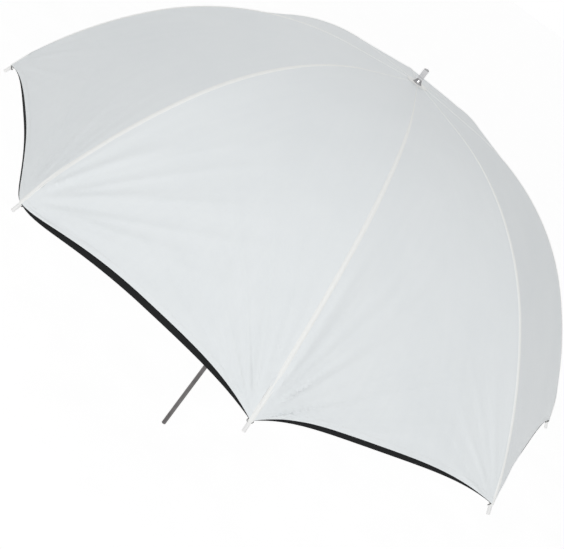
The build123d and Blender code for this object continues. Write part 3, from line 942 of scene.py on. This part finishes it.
def add_cuff(number):
    """The corner of the cloth, sewn into a small sleeve round the tip cap."""
    along = np.linspace(0, 1, CUFF_ROWS)[:, None]
    turn = np.linspace(0, 2 * math.pi, CUFF_COLUMNS)[None, :]
    u = CURVE_LENGTH + CUFF_PAST_CORNER - CUFF_LENGTH * (1 - along)
    chance = draws("cuff", number)
    folds = sum(height * np.sin(count * turn + chance.uniform(0, 6)) for count, height in CUFF_FOLDS)
    narrowing = (CUFF_END_R - CUFF_ROOT_R) * smooth(along / CUFF_TAPER)
    radius = CUFF_ROOT_R + narrowing + folds * (1 - CUFF_FOLD_LOSS * along)
    closing = rolled_in(along, CUFF_ROOT_ROLL) + rolled_in(1 - along, CUFF_END_ROLL)
    outer = round_rib(u, radius + closing, turn)
    inner = round_rib(u, TIP_R + CUFF_CLEARANCE + 0 * radius, turn)
    uv = np.stack([turn * TIP_R + 0 * u, u + 0 * turn], axis=-1)
    azimuth = rib_azimuth(number)
    piece = shell(f"cuff_{number}", turned(outer, azimuth), turned(inner, azimuth), [SEAM], uv)
    ride_rib(piece, number)


def add_binding(number):
    """Thread wound round the cuff and tied off."""
    turns = np.linspace(0, BINDING_TURNS * 2 * math.pi, BINDING_TURNS * BINDING_TURN_POINTS)
    u = CURVE_LENGTH - BINDING_BEFORE_CORNER + turns / (2 * math.pi) * 2 * BINDING_THREAD_R
    line = round_rib(u, CUFF_END_R + BINDING_LIFT, turns + math.pi)
    add_thread("binding", number, [line], [BINDING_THREAD_R], WHITE_THREAD)


def add_loop(number):
    """Black elastic loop that draws the inner layer's corner onto the tip cap."""
    turn = np.linspace(LOOP_FROM, LOOP_TO, LOOP_POINTS)
    end_pull = np.abs(turn - math.pi) / math.pi
    u = CURVE_LENGTH + LOOP_PAST_CORNER - LOOP_PULL * end_pull ** 2
    line = round_rib(u, CUFF_END_R + LOOP_LIFT + LOOP_END_LIFT * end_pull, turn)
    add_thread("loop", number, [line], [LOOP_R], BLACK_THREAD)


def tie_turns(place):
    """The thread's turns round a rib."""
    turns = np.linspace(0, TIE_TURNS * 2 * math.pi, TIE_POINTS)
    u = place + (turns / (TIE_TURNS * 2 * math.pi) - 0.5) * TIE_TURNS * 2 * TIE_THREAD_R
    return round_rib(u, ROD_R + TIE_THREAD_R, turns)


def tie_leg(place, side):
    """The thread from the rib up through the inner layer."""
    up = np.linspace(0, 1, TIE_LEG_POINTS)
    return rib_axis_point(
        place + side * TIE_LEG_ALONG + 0 * up,
        drop=-up * (RIB_DEPTH - LINER_DEPTH - CLOTH_T),
        aside=side * ((ROD_R + TIE_THREAD_R) * (1 - up) + TIE_LEG_ASIDE * up),
    )


def add_ties(number):
    """Thread ties that hold the two layers' seam to the rib."""
    lines, radius = [], []
    for place in TIE_PLACES:
        lines += [tie_turns(place), tie_leg(place, -1), tie_leg(place, 1)]
        radius += [TIE_THREAD_R, TIE_THREAD_R * TIE_LEG_THREAD, TIE_THREAD_R * TIE_LEG_THREAD]
    add_thread("ties", number, lines, radius, WHITE_THREAD)


# ---- the cap at the top ---------------------------------------------------------------------
CAP_RINGS, CAP_COLUMNS = 25, 193
CAP_INNER_R = 0.0041
CAP_R = 0.0185
CAP_LIFT = 0.00042          # over the gores' cone
CAP_T = 0.0002
CAP_NIP_DEPTH = 0.00022     # below the ferrule's lower face
CAP_NIP_R = 0.0075          # the cap is nipped flat out to here
CAP_RISE_LENGTH = 0.0045    # and then rises onto the gores
CAP_GATHERS = 24
CAP_GATHER = 0.00016
CAP_UNEVEN = ((3, 0.3), (7, 0.25))      # slow changes of the gathers' height: number round the cap, share
CAP_GATHER_FADE = 0.3
CAP_ROLL = 0.00018          # the turned-in edge
CAP_ROLL_PLACE = 0.93
CAP_ROLL_WIDTH = 0.035


def add_top_cap():
    """Round white cap of gathered cloth over the gores' top ends, nipped under the ferrule."""
    ring = np.linspace(0, 1, CAP_RINGS)[:, None]
    turn = np.linspace(0, 2 * math.pi, CAP_COLUMNS)[None, :]
    r = CAP_INNER_R + (CAP_R - CAP_INNER_R) * ring
    cone_z = APEX_Z - r * math.tan(START_SLOPE)
    nipped_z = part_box("ferrule")[0][2] - CAP_NIP_DEPTH
    rise = smooth((r - CAP_NIP_R) / CAP_RISE_LENGTH)
    base_z = nipped_z + (cone_z + CAP_LIFT - nipped_z) * rise
    chance = draws("cap")
    uneven = 1 + sum(share * np.sin(count * turn + chance.uniform(0, 6)) for count, share in CAP_UNEVEN)
    gathers = CAP_GATHER * np.cos(CAP_GATHERS * turn) * uneven * rise * smooth((1 - ring) / CAP_GATHER_FADE)
    rolled = CAP_ROLL * np.exp(-((ring - CAP_ROLL_PLACE) / CAP_ROLL_WIDTH) ** 2)
    x, y = r * np.cos(turn), r * np.sin(turn)
    outer = np.stack([x, y, base_z + gathers + rolled], axis=-1)
    inner = np.stack([x, y, base_z + gathers - CAP_T], axis=-1)
    piece = shell("top_cap", outer, inner, [SEAM], np.stack([x, y], axis=-1))
    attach(piece, "root")
    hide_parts("top_disc")


# ---- light, floor and camera ----------------------------------------------------------------
CAMERA_EYE = Vector((-0.2591, -1.6600, 1.0761))
CAMERA_RIGHT = Vector((0.8269, 0.1009, 0.5532))
CAMERA_DOWN = Vector((0.5425, -0.4018, -0.7377))
CAMERA_FORWARD = Vector((0.1479, 0.9102, -0.3870))
CAMERA_LENS = 69.52         # millimetres, as is the sensor
CAMERA_SENSOR = 36.0
CAMERA_FAR = 200.0
FLOOR_Z = -4.0
FLOOR_SIZE = 120.0
FLOOR_GLOW = 0.46
SKY_STOPS = ((0.0, 1.0), (0.09, 0.72), (0.40, 0.58), (1.0, 0.68))     # brightness by height
SIDE_SHADE = 0.42           # how much darker the surround is to the left and right
SIDE_SHADE_RISE = 8.0       # how fast that sets in above the horizon
LIGHT_TARGET = Vector((0, 0, 0.55))
LIGHTS = {
    "key": {"azimuth": 262, "elevation": 36, "distance": 4.0, "size": 1.6, "power": 47},
    "fill": {"azimuth": 95, "elevation": 30, "distance": 4.0, "size": 3.0, "power": 14},
}


def add_camera():
    data = bpy.data.cameras.new("camera")
    data.sensor_fit = "HORIZONTAL"
    data.sensor_width = CAMERA_SENSOR
    data.lens = CAMERA_LENS
    data.clip_end = CAMERA_FAR
    camera = bpy.data.objects.new("camera", data)
    bpy.context.scene.collection.objects.link(camera)
    turn = Matrix((CAMERA_RIGHT, -CAMERA_DOWN, -CAMERA_FORWARD)).transposed().to_4x4()
    camera.matrix_world = Matrix.Translation(CAMERA_EYE) @ turn
    bpy.context.scene.camera = camera


def add_floor():
    """Plain pale studio floor, well below the part, which a stand would hold up by its shaft."""
    n = new_material("studio_floor")
    n.set_colour(n.noise(n.place("Object"), scale=2.0), dark=grey(0.90), light=grey(0.92))
    n.set(Roughness=0.9, Emission_Color=(1, 1, 1, 1), Emission_Strength=FLOOR_GLOW)
    half = FLOOR_SIZE / 2
    corners = [(-half, -half, FLOOR_Z), (half, -half, FLOOR_Z), (half, half, FLOOR_Z), (-half, half, FLOOR_Z)]
    new_piece("studio_floor", np.array(corners), [[0, 1, 2, 3]], [n.owner])


def add_world():
    """Soft white surround: white at the horizon, darker above it, and shaded to the left and right."""
    world = bpy.data.worlds.new("studio")
    bpy.context.scene.world = world
    n = Nodes(world, "Background")
    axes = n.split(n.place("Generated"))
    stops = [(height, grey(level)) for height, level in SKY_STOPS]
    n.join(n.ramp(axes["Z"], *stops), n.shader.inputs["Color"])
    sideways = n.math("MULTIPLY", axes["X"], axes["X"])
    above = n.math("MULTIPLY", axes["Z"], SIDE_SHADE_RISE, clamp=True)
    shade = n.math("MULTIPLY", n.math("MULTIPLY", sideways, above), SIDE_SHADE)
    n.join(n.math("SUBTRACT", 1.0, shade), n.shader.inputs["Strength"])


def add_area_light(name, azimuth, elevation, distance, size, power):
    """Soft round light that points at the middle of the dome. Angles are in degrees, power in watts."""
    azimuth, elevation = math.radians(azimuth), math.radians(elevation)
    direction = Vector((
        math.cos(azimuth) * math.cos(elevation),
        math.sin(azimuth) * math.cos(elevation),
        math.sin(elevation),
    ))
    data = bpy.data.lights.new(name, "AREA")
    data.shape = "DISK"
    data.size = size
    data.energy = power
    light = bpy.data.objects.new(name, data)
    light.location = LIGHT_TARGET + direction * distance
    light.rotation_euler = direction.to_track_quat("Z", "Y").to_euler()
    bpy.context.scene.collection.objects.link(light)


def add_studio():
    bpy.context.scene.view_settings.view_transform = "Standard"
    add_floor()
    add_world()
    for name, settings in LIGHTS.items():
        add_area_light(name, **settings)


# ---- build it all ---------------------------------------------------------------------------
def main():
    add_camera()
    paint_nodes()
    for number in range(1, RIB_COUNT + 1):
        add_canopy(number)
        add_liner(number)
        add_seam(number)
        add_hem(number, "canopy", 0.0, CANOPY)
        add_hem(number, "liner", LINER_DEPTH, LINER_BLACK)
        add_stitches(number)
        add_cuff(number)
        add_binding(number)
        add_loop(number)
        add_ties(number)
    add_top_cap()
    add_studio()


main()
